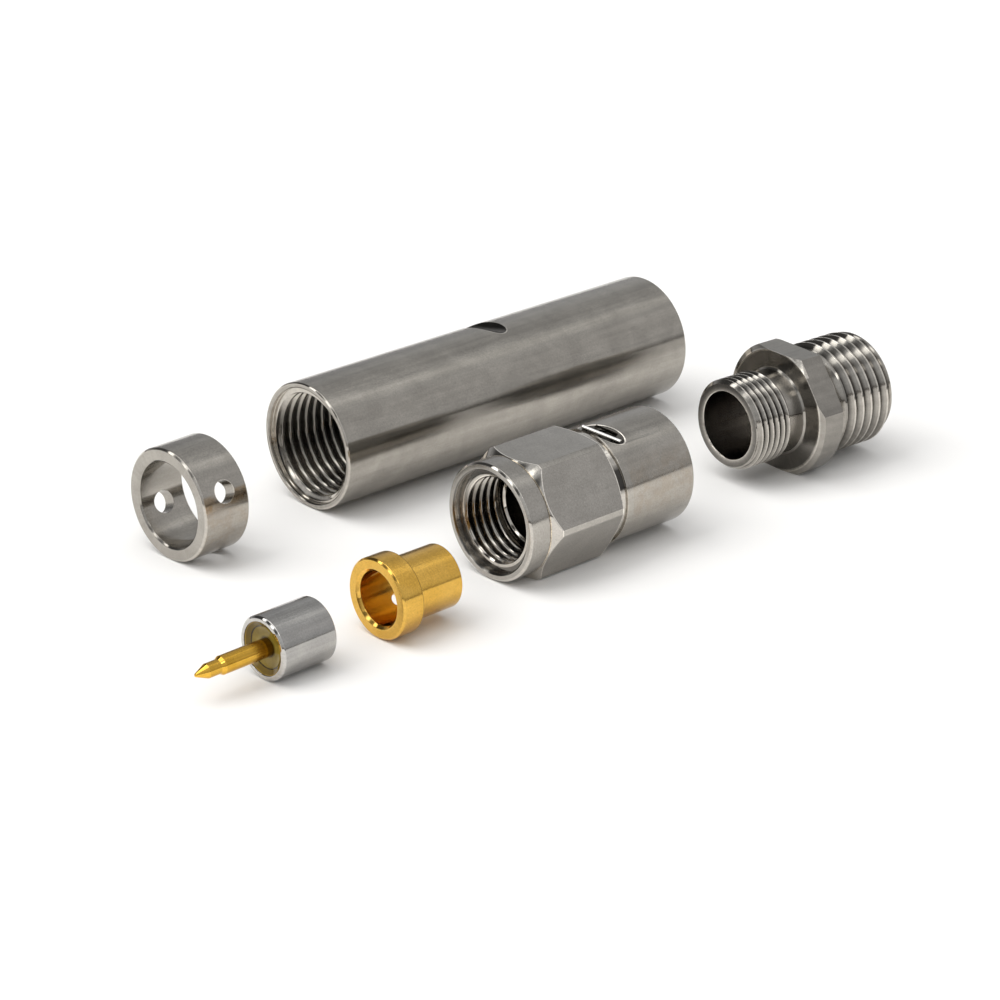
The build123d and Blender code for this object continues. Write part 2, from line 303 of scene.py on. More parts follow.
def wire_tool():
    """Round wire along a curve."""
    t, i, o = geometry_tree("draw_wire", [("Wire radius", "Float"), ("Sides", "Int"),
                                          ("Finish", "Material")])
    ring = add(t, "GeometryNodeCurvePrimitiveCircle", {"Resolution": i.outputs["Sides"],
                                                       "Radius": i.outputs["Wire radius"]})
    tube = add(t, "GeometryNodeCurveToMesh", {"Curve": i.outputs["Geometry"],
                                              "Profile Curve": ring.outputs[0], "Fill Caps": True})
    return end_tree(t, i, o, tube)


def run_tree(obj, tree, **values):
    m = obj.modifiers.new(tree.name, "NODES")
    m.node_group = tree
    for item in tree.interface.items_tree:
        if item.in_out == "INPUT" and item.name in values:
            m[item.identifier] = values[item.name]
    return settle(obj)


CUT_THREAD = thread_tool()
DRAW_WIRE = wire_tool()


def with_thread(obj, finish, start, pitch, form, side):
    crest, root, depth = form
    return run_tree(obj, CUT_THREAD, Pitch=pitch, Depth=depth * pitch, Start=start, Side=side,
                    Finish=finishes[finish], Rounding=1.0 if form is INNER else 0.0,
                    **{"Crest share": crest, "Root share": root})


# ---- finishes ----

def finish_base(name, piece):
    """Material with coordinates in millimetres about the piece's own axis."""
    m = bpy.data.materials.new(name)
    m.use_nodes = True
    t = m.node_tree
    t.nodes.clear()
    x, y, z, turn = PLACES[piece]
    back = Matrix.Rotation(-math.radians(turn), 3, "Z")
    spot = back @ Vector((x - MIDDLE[0], y - MIDDLE[1], z))
    local = add(t, "ShaderNodeMapping", {"Vector": add(t, "ShaderNodeTexCoord").outputs["Object"],
                                         "Location": -spot, "Rotation": (0, 0, -math.radians(turn)),
                                         "Scale": (1 / MM, 1 / MM, 1 / MM)}).outputs[0]
    s = add(t, "ShaderNodeSeparateXYZ", {0: local})
    flat = add(t, "ShaderNodeCombineXYZ", {0: s.outputs[0], 2: s.outputs[2]})
    radius = add(t, "ShaderNodeVectorMath", {0: flat.outputs[0]}, operation="LENGTH").outputs["Value"]
    angle = math_node(t, "ARCTAN2", s.outputs[0], s.outputs[2])
    return m, t, local, s.outputs[1], radius, angle


def noise(t, vector, scale, detail=3.0, rough=0.5, distortion=0.0):
    return add(t, "ShaderNodeTexNoise", {"Vector": vector, "Scale": scale, "Detail": detail,
                                         "Roughness": rough, "Distortion": distortion}).outputs["Fac"]


def blend_colour(t, factor, a, b, mode="MIX"):
    n = add(t, "ShaderNodeMix", {"Factor": factor}, data_type="RGBA", blend_type=mode)
    for socket, v in ((n.inputs[6], a), (n.inputs[7], b)):
        if isinstance(v, bpy.types.NodeSocket):
            t.links.new(v, socket)
        else:
            socket.default_value = (*v, 1.0)
    return n.outputs[2]


def band(t, value, low, high, soft=0.008):
    """1 between two values, 0 outside, with soft ends."""
    rise, fall = span(t, value, low - soft, low, 0.0, 1.0), span(t, value, high, high + soft, 1.0, 0.0)
    return math_node(t, "MULTIPLY", rise, fall)


def reach(t, local, tool):
    """Distance from the surface that a round tool leaves."""
    place, radius = tool
    axis = (place.to_3x3() @ Vector((1, 0, 0))).normalized()
    arm = add(t, "ShaderNodeVectorMath", {0: local, 1: place.translation}, operation="SUBTRACT")
    off = add(t, "ShaderNodeVectorMath", {0: arm.outputs[0], 1: axis}, operation="CROSS_PRODUCT")
    off = add(t, "ShaderNodeVectorMath", {0: off.outputs[0]}, operation="LENGTH").outputs["Value"]
    return math_node(t, "SUBTRACT", off, radius)


def brighter(colour, share):
    """Same hue, lighter by the share as far as white allows."""
    return tuple(c * min(share, 0.96 / max(colour)) for c in colour)


# Round tools that leave the window, its slot, the scallop and the ring's holes. WINDOW is the turn
# and the skew that they and the wire's end share.
WIRE_Y = 9.29
WINDOW = (8.8, 15.0)
WINDOW_R, SLOT_R, SCALLOP_R = 1.25, 0.24, 1.14
HOLE_R, HOLE_Y = 0.765, 1.85
RING_HOLES = (67.4, -112.6, 157.4)
TOOLS = {
    "window": (across(3.62 + WINDOW_R, WIRE_Y, *WINDOW), WINDOW_R),
    "slot": (across(3.45 + SLOT_R, WIRE_Y, *WINDOW, 0.50), SLOT_R),
    "scallop": (across(LARGE_R + SCALLOP_R, 16.47, -9.6, 8.0), SCALLOP_R),
}
TOOLS.update({f"hole_{i}": (drilled(HOLE_Y, turn), HOLE_R) for i, turn in enumerate(RING_HOLES)})

# How much lighter than the metal its polished zones and its painted highlights are
POLISHED_GAIN, PAINTED_HIGHLIGHT_GAIN = 1.5, 2.1


def metal(name, piece, light, dark, rough, grain, streaks, polished=(), polish=0.07, painted_highlights=(),
          painted_shade=(), stained=(), stain=(0.30, 0.20, 0.10)):
    """Turned metal: tool marks round the axis, fine grain, streaks along it.

    A zone is a list of (what, low, high) that hold together, with the width of its edge where needed.
    What is y, radius, angle, a tool's name, or a number for the cone that rises with that share of
    the radius. Painted highlight zones are bright lines and patches painted into the colour along
    edges and where bright reflections fall. Painted shade zones darken the colour in recesses, in
    thread roots and where dark reflections fall, and come with the share of the light that they keep.
    Stained ones come with the share of the stain.
    """
    m, t, local, y, radius, angle = finish_base(name, piece)
    of = {"y": y, "radius": radius, "angle": angle}

    def mask(zone):
        out = None
        for what, low, high, *soft in zone:
            if what in TOOLS and what not in of:
                of[what] = reach(t, local, TOOLS[what])
            elif what not in of:
                of[what] = math_node(t, "SUBTRACT", y, math_node(t, "MULTIPLY", radius, what))
            b = band(t, of[what], low, high, *soft)
            out = b if out is None else math_node(t, "MULTIPLY", out, b)
        return out

    def any_of(zones):
        out = None
        for zone in zones:
            out = mask(zone) if out is None else math_node(t, "MAXIMUM", out, mask(zone))
        return out

    around = add(t, "ShaderNodeCombineXYZ", {0: math_node(t, "MULTIPLY", radius, 9.0),
                                             1: math_node(t, "MULTIPLY", y, 9.0),
                                             2: math_node(t, "MULTIPLY", angle, 0.5)}).outputs[0]
    along = add(t, "ShaderNodeCombineXYZ", {0: math_node(t, "MULTIPLY", angle, 7.0),
                                            1: math_node(t, "MULTIPLY", y, 0.10),
                                            2: math_node(t, "MULTIPLY", radius, 0.5)}).outputs[0]
    rings = noise(t, around, 1.0, 2.0, 0.6)
    fine = noise(t, local, 9.0, 3.0, 0.62)
    cloud = noise(t, local, 0.55, 3.0, 0.55, 0.4)
    streak = noise(t, along, 1.6, 3.0, 0.5)
    pits = span(t, noise(t, local, 5.0, 2.0, 0.7, 0.6), 0.64, 0.72, 1.0, 0.90)
    colour = blend_colour(t, span(t, cloud, 0.36, 0.66, 0.0, 1.0), dark, light)
    shade = math_node(t, "ADD", math_node(t, "MULTIPLY", fine, grain),
                      math_node(t, "MULTIPLY", streak, streaks))
    shade = span(t, shade, 0.28 * (grain + streaks), 0.72 * (grain + streaks), 0.79, 1.17)
    shade = math_node(t, "MULTIPLY", shade, pits)
    gloss = span(t, math_node(t, "ADD", fine, streak), 0.7, 1.3, rough * 0.88, rough * 1.14)
    if polished:
        shine = any_of(polished)
        lit = math_node(t, "MULTIPLY", shine, 0.6)
        colour = blend_colour(t, lit, colour, brighter(light, POLISHED_GAIN))
        gloss = add(t, "ShaderNodeMix", {0: shine, 2: gloss, 3: polish}).outputs[0]
    for zone, share in stained:
        patch = span(t, noise(t, local, 1.3, 4.0, 0.6, 0.8), 0.42, 0.60, 0.3 * share, share)
        colour = blend_colour(t, math_node(t, "MULTIPLY", patch, mask(zone)), colour, stain)
    # Painted shade: darker colour in recesses, thread roots and where dark reflections fall
    for zone, keep in painted_shade:
        shade = math_node(t, "MULTIPLY", shade, span(t, mask(zone), 0.0, 1.0, 1.0, keep))
    # Painted highlights: bright colour along edges and where bright reflections fall
    if painted_highlights:
        edge = math_node(t, "MULTIPLY", any_of(painted_highlights), span(t, fine, 0.3, 0.5, 0.5, 1.0))
        colour = blend_colour(t, edge, colour, brighter(light, PAINTED_HIGHLIGHT_GAIN))
    grey = add(t, "ShaderNodeCombineColor", {0: shade, 1: shade, 2: shade}).outputs[0]
    colour = blend_colour(t, 1.0, colour, grey, "MULTIPLY")
    height = math_node(t, "ADD", math_node(t, "MULTIPLY", rings, 0.5),
                       math_node(t, "MULTIPLY", fine, 0.5))
    bump = add(t, "ShaderNodeBump", {"Strength": 0.3, "Distance": 0.000004, "Height": height}).outputs[0]
    marks = add(t, "ShaderNodeVectorMath", {0: (0, 1, 0), 1: local}, operation="CROSS_PRODUCT")
    normal = add(t, "ShaderNodeNewGeometry").outputs["Normal"]
    off_marks = add(t, "ShaderNodeVectorMath", {0: normal, 1: marks.outputs[0]},
                    operation="CROSS_PRODUCT")
    shader = add(t, "ShaderNodeBsdfPrincipled", {"Base Color": colour, "Metallic": 1.0,
                                                 "Roughness": gloss, "Anisotropic": 0.9,
                                                 "Tangent": off_marks.outputs[0], "Normal": bump})
    t.links.new(shader.outputs[0], add(t, "ShaderNodeOutputMaterial").inputs[0])
    return m


def sealing_glass(name, piece):
    """Fused olive glass, smooth where it melted: painted shade in a dark ring round the pin; towards the
    shell darker brown with a thin dark ring, then a lighter rim against the shell.
    """
    m, t, local, _, radius, _ = finish_base(name, piece)
    cloud = noise(t, local, 1.5, 3.0, 0.5, 0.3)
    wavy = math_node(t, "ADD", radius, math_node(t, "MULTIPLY", cloud, 0.12))
    colour = blend_colour(t, span(t, cloud, 0.35, 0.65, 0.0, 1.0),
                          (0.29, 0.205, 0.028), (0.38, 0.275, 0.055))
    for share, tone in ((span(t, wavy, 1.30, 1.52, 0.0, 0.85), (0.20, 0.125, 0.014)),
                        (band(t, wavy, 1.40, 1.44, 0.03), (0.05, 0.035, 0.01)),
                        (span(t, wavy, 1.70, 1.76, 0.0, 0.8), (0.55, 0.36, 0.07)),
                        (span(t, wavy, 0.66, 0.80, 0.9, 0.0), (0.06, 0.035, 0.005))):
        colour = blend_colour(t, share, colour, tone)
    height = noise(t, local, 2.5, 2.0, 0.5)
    bump = add(t, "ShaderNodeBump", {"Strength": 0.3, "Distance": 0.00002, "Height": height}).outputs[0]
    shader = add(t, "ShaderNodeBsdfPrincipled", {"Base Color": colour, "IOR": 1.52,
                                                 "Roughness": span(t, cloud, 0.3, 0.7, 0.03, 0.09),
                                                 "Transmission Weight": 0.30,
                                                 "Specular IOR Level": 0.2, "Normal": bump})
    t.links.new(shader.outputs[0], add(t, "ShaderNodeOutputMaterial").inputs[0])
    return m


LIGHT, DARK = (0.445, 0.418, 0.378), (0.385, 0.361, 0.325)
GOLD, DEEP_GOLD = (0.90, 0.545, 0.118), (0.82, 0.48, 0.088)
finishes = {
    "sleeve": metal(
        "ground_steel_sleeve", "sleeve", (0.43, 0.403, 0.362), (0.365, 0.342, 0.307), 0.17, 0.16, 0.16,
        polished=[[("radius", 0, 4.05), ("y", 0.10, 7.0)],
                  [("y", 0.005, 0.12), ("radius", 4.28, 4.42)]],
        polish=0.13,
        # Painted highlight along the scallop's rim
        painted_highlights=[[("scallop", -0.015, 0.015), ("radius", 4.39, 4.42)]],
        # Painted shade: darker scallop, dark thread roots, the dark middle of the left inside wall, and
        # a painted dark reflection band along the outside below the horizon line
        painted_shade=[([("radius", 3.9, 4.38), ("y", 15.2, 17.8), ("angle", -0.9, 0.9)], 0.42),
                ([("radius", 3.93, 4.1, 0.12), ("y", 0.40, 6.9)], 0.12),
                ([("radius", 2.9, 4.1), ("y", 0.40, 6.9), ("angle", -2.0, -1.3, 0.4)], 0.36),
                ([("radius", 4.39, 4.42), ("y", 0.12, 31.4), ("angle", 1.30, 1.45, 0.07)], 0.72)]),
    "nut": metal(
        "milled_steel_nut", "plug", (0.455, 0.43, 0.392), (0.40, 0.377, 0.343), 0.18, 0.18, 0.05,
        polished=[[("radius", 0, 3.35), ("y", 0.45, 3.2)],
                  [("y", 7.83, 8.50)],
                  [("y", 0.005, 0.15), ("radius", 3.78, 3.96)],
                  [(1.0, -2.28, -2.235)],
                  [("y", 1.62, 1.722)]],
        polish=0.08,
        # Painted highlights: bright lines at the hexagon's front and back cone edges, a bright
        # reflection block on the neck and a lighter counterbore wall
        painted_highlights=[[(1.0, -2.235, -2.18)],
              [(-0.577, 10.07, 10.13)],
              [("y", 7.86, 8.44), ("angle", 0.56, 0.68, 0.05)],
              [("radius", 3.42, 3.44), ("y", 0.1, 0.48), ("angle", -1.7, 0.4, 0.3)]],
        # Painted shade: dark bore behind the neck, a dark reflection patch on the neck, dark thread
        # roots, the dark middle of the left inside wall, a darker hexagon corner, and dark lines at the
        # mouth's chamfer and where the counterbore meets the thread
        painted_shade=[([("radius", 3.3, 3.7), ("y", 8.49, 11.1)], 0.35),
                ([("y", 7.86, 8.44), ("angle", 0.95, 1.26, 0.12)], 0.12),
                ([("radius", 3.07, 3.22, 0.09), ("y", 0.52, 3.2)], 0.12),
                ([("radius", 2.7, 3.22), ("y", 0.52, 3.2), ("angle", -2.0, -1.3, 0.4)], 0.42),
                ([("radius", 4.46, 4.48), ("y", 2.2, 7.6), ("angle", 0.42, 0.62)], 0.86),
                ([("radius", 3.41, 3.50), ("y", 0.02, 0.12)], 0.35),
                ([("radius", 3.1, 3.45), ("y", 0.44, 0.53)], 0.30)],
        stained=[([("radius", 2.6, 3.45), ("y", 0.1, 1.8)], 0.14)], stain=(0.26, 0.17, 0.09)),
    "body": metal(
        "turned_steel_body", "plug", LIGHT, DARK, 0.17, 0.15, 0.10,
        polished=[[("radius", 0, 3.93), ("y", 0, 10.4)]], polish=0.06,
        # Painted highlights along the window's and the slot's edges
        painted_highlights=[[("window", -0.012, 0.012), ("radius", 3.93, 3.97)],
              [("window", -0.02, 0.02), ("slot", -0.02, 0.02), ("radius", 3.4, 3.93)]],
        # Painted shade inside the window, the slot and the bore
        painted_shade=[([("window", -0.02, 0.02), ("radius", 3.3, 3.92), ("y", 9.2, 10.4, 0.1)], 0.12),
                ([("window", -0.02, 0.02), ("radius", 3.3, 3.92), ("y", 8.5, 9.1, 0.1)], 0.5),
                ([("slot", -0.02, 0.02), ("radius", 3.3, 3.8)], 0.2),
                ([("radius", 0, 2.45), ("y", 3.66, 14.4)], 0.38)],
        stained=[([("radius", 3.90, 4.0), ("y", 9.0, 14.4), ("angle", 1.1, 1.7, 0.3)], 0.22)]),
    "wire": metal("bright_wire", "plug", (0.93, 0.92, 0.90), (0.86, 0.85, 0.83), 0.07, 0.04, 0.06),
    "adapter": metal(
        "turned_steel_adapter", "adapter", (0.35, 0.329, 0.298), (0.30, 0.282, 0.255), 0.16, 0.08, 0.10,
        polished=[[("y", 0.01, 4.46), ("radius", 2.5, 3.2)],
                  [("y", 6.52, 12.1), ("radius", 3.2, 4.0)],
                  [("radius", 2.36, 2.46), ("y", -0.01, 0.06)],
                  [(0.577, 2.0, 2.03)]],
        polish=0.13,
        # Painted highlights: bright lines at the bore's front edge, along both threads' crests and at
        # the flange's front edge, and a highlight on the flange chamfer
        painted_highlights=[[("y", -0.01, 0.055), ("radius", 2.38, 2.45)],
              [("radius", 3.155, 3.19), ("y", 0.2, 3.0)],
              [("radius", 3.945, 3.98), ("y", 7.3, 11.8)],
              [("y", 4.49, 4.545), ("radius", 4.19, 4.8)],
              [("y", 4.50, 4.75), ("radius", 4.28, 4.8), ("angle", 0.42, 0.80, 0.04)]],
        # Painted shade: darker bore and front face, darker lower side, a dark line at the flange's
        # front, and dark thread roots
        painted_shade=[([("radius", 0, 2.40), ("y", 0.06, 12.0)], 0.66),
                ([("radius", 2.47, 2.90), ("y", -0.01, 0.01)], 0.55),
                ([("radius", 2.8, 4.8), ("angle", 1.22, 3.1, 0.12)], 0.87),
                ([("radius", 3.0, 4.27), ("y", 4.48, 4.52)], 0.72),
                ([("radius", 2.80, 2.98, 0.12), ("y", 0.27, 3.12)], 0.16),
                ([("radius", 3.45, 3.64, 0.20), ("y", 7.6, 11.8)], 0.40)]),
    "ring": metal(
        "turned_steel_ring", "ring", LIGHT, DARK, 0.17, 0.15, 0.10,
        polished=[[("y", 0.005, 0.14), ("radius", 3.69, 3.85)],
                  [("y", 3.56, 3.70), ("radius", 3.69, 3.85)]],
        polish=0.17,
        # Painted highlights round the holes' rims
        painted_highlights=[[("hole_0", -0.02, 0.02), ("radius", 3.82, 3.86)],
              [("hole_2", -0.02, 0.02), ("radius", 3.82, 3.86), ("angle", 2.3, 3.15)]],
        # A brown band along the outer side, 69 to 80 degrees down from the top, and a fainter brown
        # below it
        stained=[([("radius", 3.81, 3.9), ("angle", 1.20, 1.40, 0.05)], 0.65),
                 ([("radius", 3.81, 3.9), ("angle", 1.34, 2.4, 0.1)], 0.25)],
        stain=(0.33, 0.225, 0.12)),
    "shell": metal(
        "turned_steel_shell", "seal", (0.45, 0.437, 0.417), (0.395, 0.384, 0.368), 0.15, 0.12, 0.12,
        polished=[[("y", -0.01, 0.16), ("radius", 1.70, 2.07)]], polish=0.07),
    "ferrule": metal(
        "gold_plate_ferrule", "ferrule", GOLD, DEEP_GOLD, 0.16, 0.12, 0.05,
        polished=[[("y", 0.005, 0.14), ("radius", 2.50, 2.66)],
                  [("y", 0.005, 0.21), ("radius", 1.75, 1.97)]],
        polish=0.15,
        # Painted shade: a dark line at the collar's step, and darker bore, lower side and front face
        painted_shade=[([("y", 1.53, 1.61), ("radius", 2.59, 2.66)], 0.42),
                ([("radius", 0, 1.78), ("y", 0.2, 5.3)], 0.80),
                ([("radius", 2.05, 2.7), ("y", 0.005, 5.3), ("angle", 1.26, 3.1, 0.06)], 0.83),
                ([("y", -0.01, 0.005), ("radius", 1.9, 2.6)], 0.85)]),
    "pin": metal(
        "gold_plate_pin", "seal", (0.74, 0.43, 0.065), (0.64, 0.355, 0.04), 0.17, 0.06, 0.08,
        polished=[[("y", -5.2, -4.27)], [("y", -3.42, -3.14)]], polish=0.06,
        # Painted shade on the pin next to the glass
        painted_shade=[([("y", -0.02, 0.5)], 0.35)]),
    "glass": sealing_glass("sealing_glass", "seal"),
}


def done(obj, piece, finish, slot, body, *nodes):
    """Smooth shading with crisp edges, its finish, its place, and the node that it stands for."""
    mesh = obj.data
    for label in ("thread", "relief"):
        if label in mesh.attributes:
            mesh.attributes.remove(mesh.attributes[label])
    mesh.transform(where(piece))
    mesh.polygons.foreach_set("use_smooth", [True] * len(mesh.polygons))
    mesh.set_sharp_from_angle(angle=math.radians(23))
    mesh.materials.clear()
    mesh.materials.append(finishes[finish])
    mesh.update()
    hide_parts(*nodes)
    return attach(obj, body)


# ---- long sleeve ----

SLEEVE_R, SLEEVE_LEN = LARGE_R + 0.44, 31.55
SLEEVE_BORE, SLEEVE_BORE_START = LARGE_MINOR + 0.08, 6.80
SLEEVE_THREAD = (0.35, 6.10)


def sleeve_section(angle):
    outside = softened([(SLEEVE_R - 0.10, 0, 0.03), (SLEEVE_R, 0.10, 0.02),
                        (SLEEVE_R, SLEEVE_LEN - 0.06, 0.03), (SLEEVE_R - 0.06, SLEEVE_LEN, 0.02),
                        (SLEEVE_BORE + 0.05, SLEEVE_LEN, 0.02), (SLEEVE_BORE, SLEEVE_LEN - 0.05, 0.02),
                        (SLEEVE_BORE, SLEEVE_BORE_START, 0.02), (LARGE_R, SLEEVE_BORE_START, 0.02),
                        (LARGE_R, 6.12, 0.0)])
    y = thread_rows(*SLEEVE_THREAD, SLEEVE_PITCH, angle, INNER)[::-1]
    lead = np.maximum(0.0, SLEEVE_THREAD[0] + 0.10 - y)
    share = np.clip((SLEEVE_THREAD[1] - y) / 0.25, 0, 1)
    rows = np.stack([LARGE_MINOR + lead, y, share, lead], -1)
    mouth = softened([(LARGE_R + 0.02, SLEEVE_THREAD[0], 0.0), (LARGE_R + 0.05, 0.32, 0.0),
                      (LARGE_R + 0.05, 0.08, 0.02), (LARGE_R + 0.13, 0, 0.03)])
    return np.concatenate([plain(outside), rows, plain(mouth)])


sleeve = body_mesh("long_sleeve_turned", sleeve_section, angles_of(256))
with_thread(sleeve, "sleeve", SLEEVE_THREAD[0], SLEEVE_PITCH, INNER, 1.0)
cut(sleeve, round_cutter(TOOLS["scallop"], 9.0))
done(sleeve, "sleeve", "sleeve", "turned_steel", "kit", "long_sleeve")

# ---- coupling nut ----

HEX_FLAT, HEX_BAR = 3.97, 4.47
HEX_START, HEX_END = 1.72, 7.84
NUT_COLLAR, NUT_NECK, NUT_NECK_END, NUT_BORE = 3.95, 3.80, HEX_END + 0.635, 3.60
GROOVE_FLOOR, GROOVE_START, GROOVE_END = 3.435, 9.11, 10.04
NUT_CLEAR, NUT_CLEAR_START, NUT_CLEAR_END = 3.10, 3.12, 11.0
NUT_THREAD, NUT_FIRST = (0.50, 3.10), 0.235
FRONT_CONE, BACK_CONE = math.tan(math.radians(45)), math.tan(math.radians(30))


def hexagon_radius(angle):
    """Hexagon milled from a round bar that leaves its corners round."""
    off = (angle + TURN / 12) % (TURN / 6) - TURN / 12
    return min(HEX_FLAT / math.cos(off), HEX_BAR)


def hexagon_angles():
    land = math.acos(HEX_FLAT / HEX_BAR)
    return angles_of(240, [k * TURN / 6 + s * land for k in range(6) for s in (-1, 1)])


def nut_section(angle):
    r = hexagon_radius(angle)
    front, back = HEX_START + (r - HEX_FLAT) * FRONT_CONE, HEX_END - (r - HEX_FLAT) * BACK_CONE
    outside = softened([(3.53, 0, 0.02), (NUT_COLLAR - 0.14, 0, 0.02), (NUT_COLLAR, 0.14, 0.02),
                        (NUT_COLLAR, HEX_START - 0.10, 0.02), (NUT_COLLAR - 0.10, HEX_START, 0.0),
                        (HEX_FLAT, HEX_START, 0.0), (r, front, 0.015), (r, back, 0.015),
                        (HEX_FLAT, HEX_END, 0.0), (NUT_NECK, HEX_END, 0.0),
                        (NUT_NECK, NUT_NECK_END, 0.01), (NUT_BORE, NUT_NECK_END, 0.0),
                        (NUT_BORE, GROOVE_START, 0.0), (GROOVE_FLOOR, GROOVE_START, 0.0),
                        (GROOVE_FLOOR, GROOVE_END, 0.0), (NUT_BORE, GROOVE_END, 0.0),
                        (NUT_BORE, NUT_CLEAR_END, 0.0), (NUT_CLEAR, NUT_CLEAR_END, 0.0),
                        (NUT_CLEAR, NUT_CLEAR_START, 0.0)])
    y = thread_rows(*NUT_THREAD, NUT_PITCH, angle, INNER, NUT_FIRST)[::-1]
    lead = np.maximum(0.0, NUT_THREAD[0] + 0.12 - y)
    share = np.clip((NUT_THREAD[1] - y) / 0.2, 0, 1)
    rows = np.stack([SMALL_MINOR + lead, y, share, lead], -1)
    mouth = softened([(3.20, NUT_THREAD[0], 0.0), (3.43, NUT_THREAD[0], 0.03), (3.43, 0.10, 0.02)])
    return np.concatenate([plain(outside), rows, plain(mouth)])


nut = body_mesh("coupling_nut_milled", nut_section, hexagon_angles())
with_thread(nut, "nut", NUT_FIRST, NUT_PITCH, INNER, 1.0)
done(nut, "plug", "nut", "turned_steel", "nut", "coupling_nut")

# ---- plug body and wire ----

BODY_START, BODY_END, BODY_R, BODY_BORE = 8.49, 14.55, 3.95, 2.43
NOSE_START, NOSE_END, NOSE_R = 3.50, 11.10, 3.04
SOCKET_R, BODY_GROOVE = 3.63, 3.745
WIRE_RING, WIRE_R = 3.615, 0.12
WIRE_END = across(WIRE_RING + 0.125, WIRE_Y, *WINDOW)

body = turned("plug_body_turned", [
    (SOCKET_R, BODY_START, 0.01), (BODY_R - 0.04, BODY_START, 0.02), (BODY_R, BODY_START + 0.05, 0.02),
    (BODY_R, BODY_END - 0.10, 0.03), (BODY_R - 0.10, BODY_END, 0.03), (BODY_BORE + 0.10, BODY_END, 0.02),
    (BODY_BORE, BODY_END - 0.10, 0.02), (BODY_BORE, NOSE_START + 0.14, 0.02),
    (BODY_BORE + 0.14, NOSE_START, 0.02), (NOSE_R - 0.14, NOSE_START, 0.03),
    (NOSE_R, NOSE_START + 0.14, 0.03), (NOSE_R, NOSE_END, 0.0), (SOCKET_R, NOSE_END, 0.0),
    (SOCKET_R, WIRE_Y + 0.13, 0.0), (BODY_GROOVE, WIRE_Y + 0.07, 0.0),
    (BODY_GROOVE, WIRE_Y - 0.07, 0.0), (SOCKET_R, WIRE_Y - 0.13, 0.0)], 256)
cut(body,
    round_cutter(TOOLS["window"], 9.0),
    round_cutter(TOOLS["slot"], 1.70),
    round_cutter((WIRE_END, 0.5 * WIRE_R + 0.015), 2.96, 64))
done(body, "plug", "body", "turned_steel", "kit", "plug_body")


def path_curve(name, runs):
    """Curve of straight steps; a run is its points and its share of the wire's thickness."""
    curve = bpy.data.curves.new(name, "CURVE")
    curve.dimensions = "3D"
    for points, thickness in runs:
        s = curve.splines.new("POLY")
        s.points.add(len(points) - 1)
        for p, q in zip(s.points, points):
            p.co, p.radius = (*q, 1.0), thickness
    obj = bpy.data.objects.new(name, curve)
    bpy.context.scene.collection.objects.link(obj)
    return obj


def wire_runs():
    """Loop in the groove, then the straight end across the window."""
    first, last = WINDOW[0] + 16.0, WINDOW[0] + 360 - 6.0
    loop = [(WIRE_RING * math.sin(math.radians(a)), WIRE_Y, WIRE_RING * math.cos(math.radians(a)))
            for a in np.linspace(first, last, 150)]
    straight = [tuple(WIRE_END @ Vector((x, 0, 0))) for x in np.linspace(-1.45, 1.45, 24)]
    return [(loop, 1.0), (straight, 0.45)]


wire = path_curve("retaining_wire_drawn", wire_runs())
wire = run_tree(wire, DRAW_WIRE, Sides=24, **{"Wire radius": WIRE_R, "Finish": finishes["wire"]})
done(wire, "plug", "wire", "spring_steel", "kit", "retaining_wire")

# ---- threaded adapter ----

FLANGE_FLAT, FLANGE_BAR, FLANGE_FACE, FLANGE_BACK = 4.20, 4.70, 4.30, 4.58
FLATS_TURN = math.radians(53.3)
FLANGE_START, FLANGE_END, ADAPTER_END = 4.50, 6.50, 12.0
SMALL_NECK, LARGE_NECK = SMALL_MINOR + 0.12, LARGE_MINOR - 0.12
FRONT_THREAD, BACK_THREAD = (0.0, 3.15), (7.25, ADAPTER_END)
FRONT_FIRST, BACK_FIRST = 0.258, 7.367
ADAPTER_BORE, BACK_BORE, BACK_BORE_START = 2.38, 3.10, 7.50


def flange_radius(angle):
    """Round flange with two pairs of spanner flats."""
    nearest = max(abs(math.cos(angle)), abs(math.cos(angle - FLATS_TURN)))
    return min(FLANGE_BAR, FLANGE_FLAT / nearest)


def flange_angles():
    land = math.acos(FLANGE_FLAT / FLANGE_BAR)
    corners = (-land, FLATS_TURN / 2, FLATS_TURN + land)
    return angles_of(240, [a + side for a in corners for side in (0, math.pi)])


def outer_thread(ends, pitch, first, major, neck, chamfer, angle, neck_first):
    """Rows of an outer thread that runs out into a neck at one end and a chamfer at the other."""
    y = thread_rows(*ends, pitch, angle, OUTER, first)
    from_neck = y - ends[0] if neck_first else ends[1] - y
    from_tip = ends[1] - y if neck_first else y - ends[0]
    r = np.minimum(major, neck + from_neck)
    r = np.minimum(r, major - np.maximum(0.0, chamfer - from_tip))
    share = np.clip(from_neck / 0.45, 0, 1)
    return np.stack([r, y, share, major - r], -1)


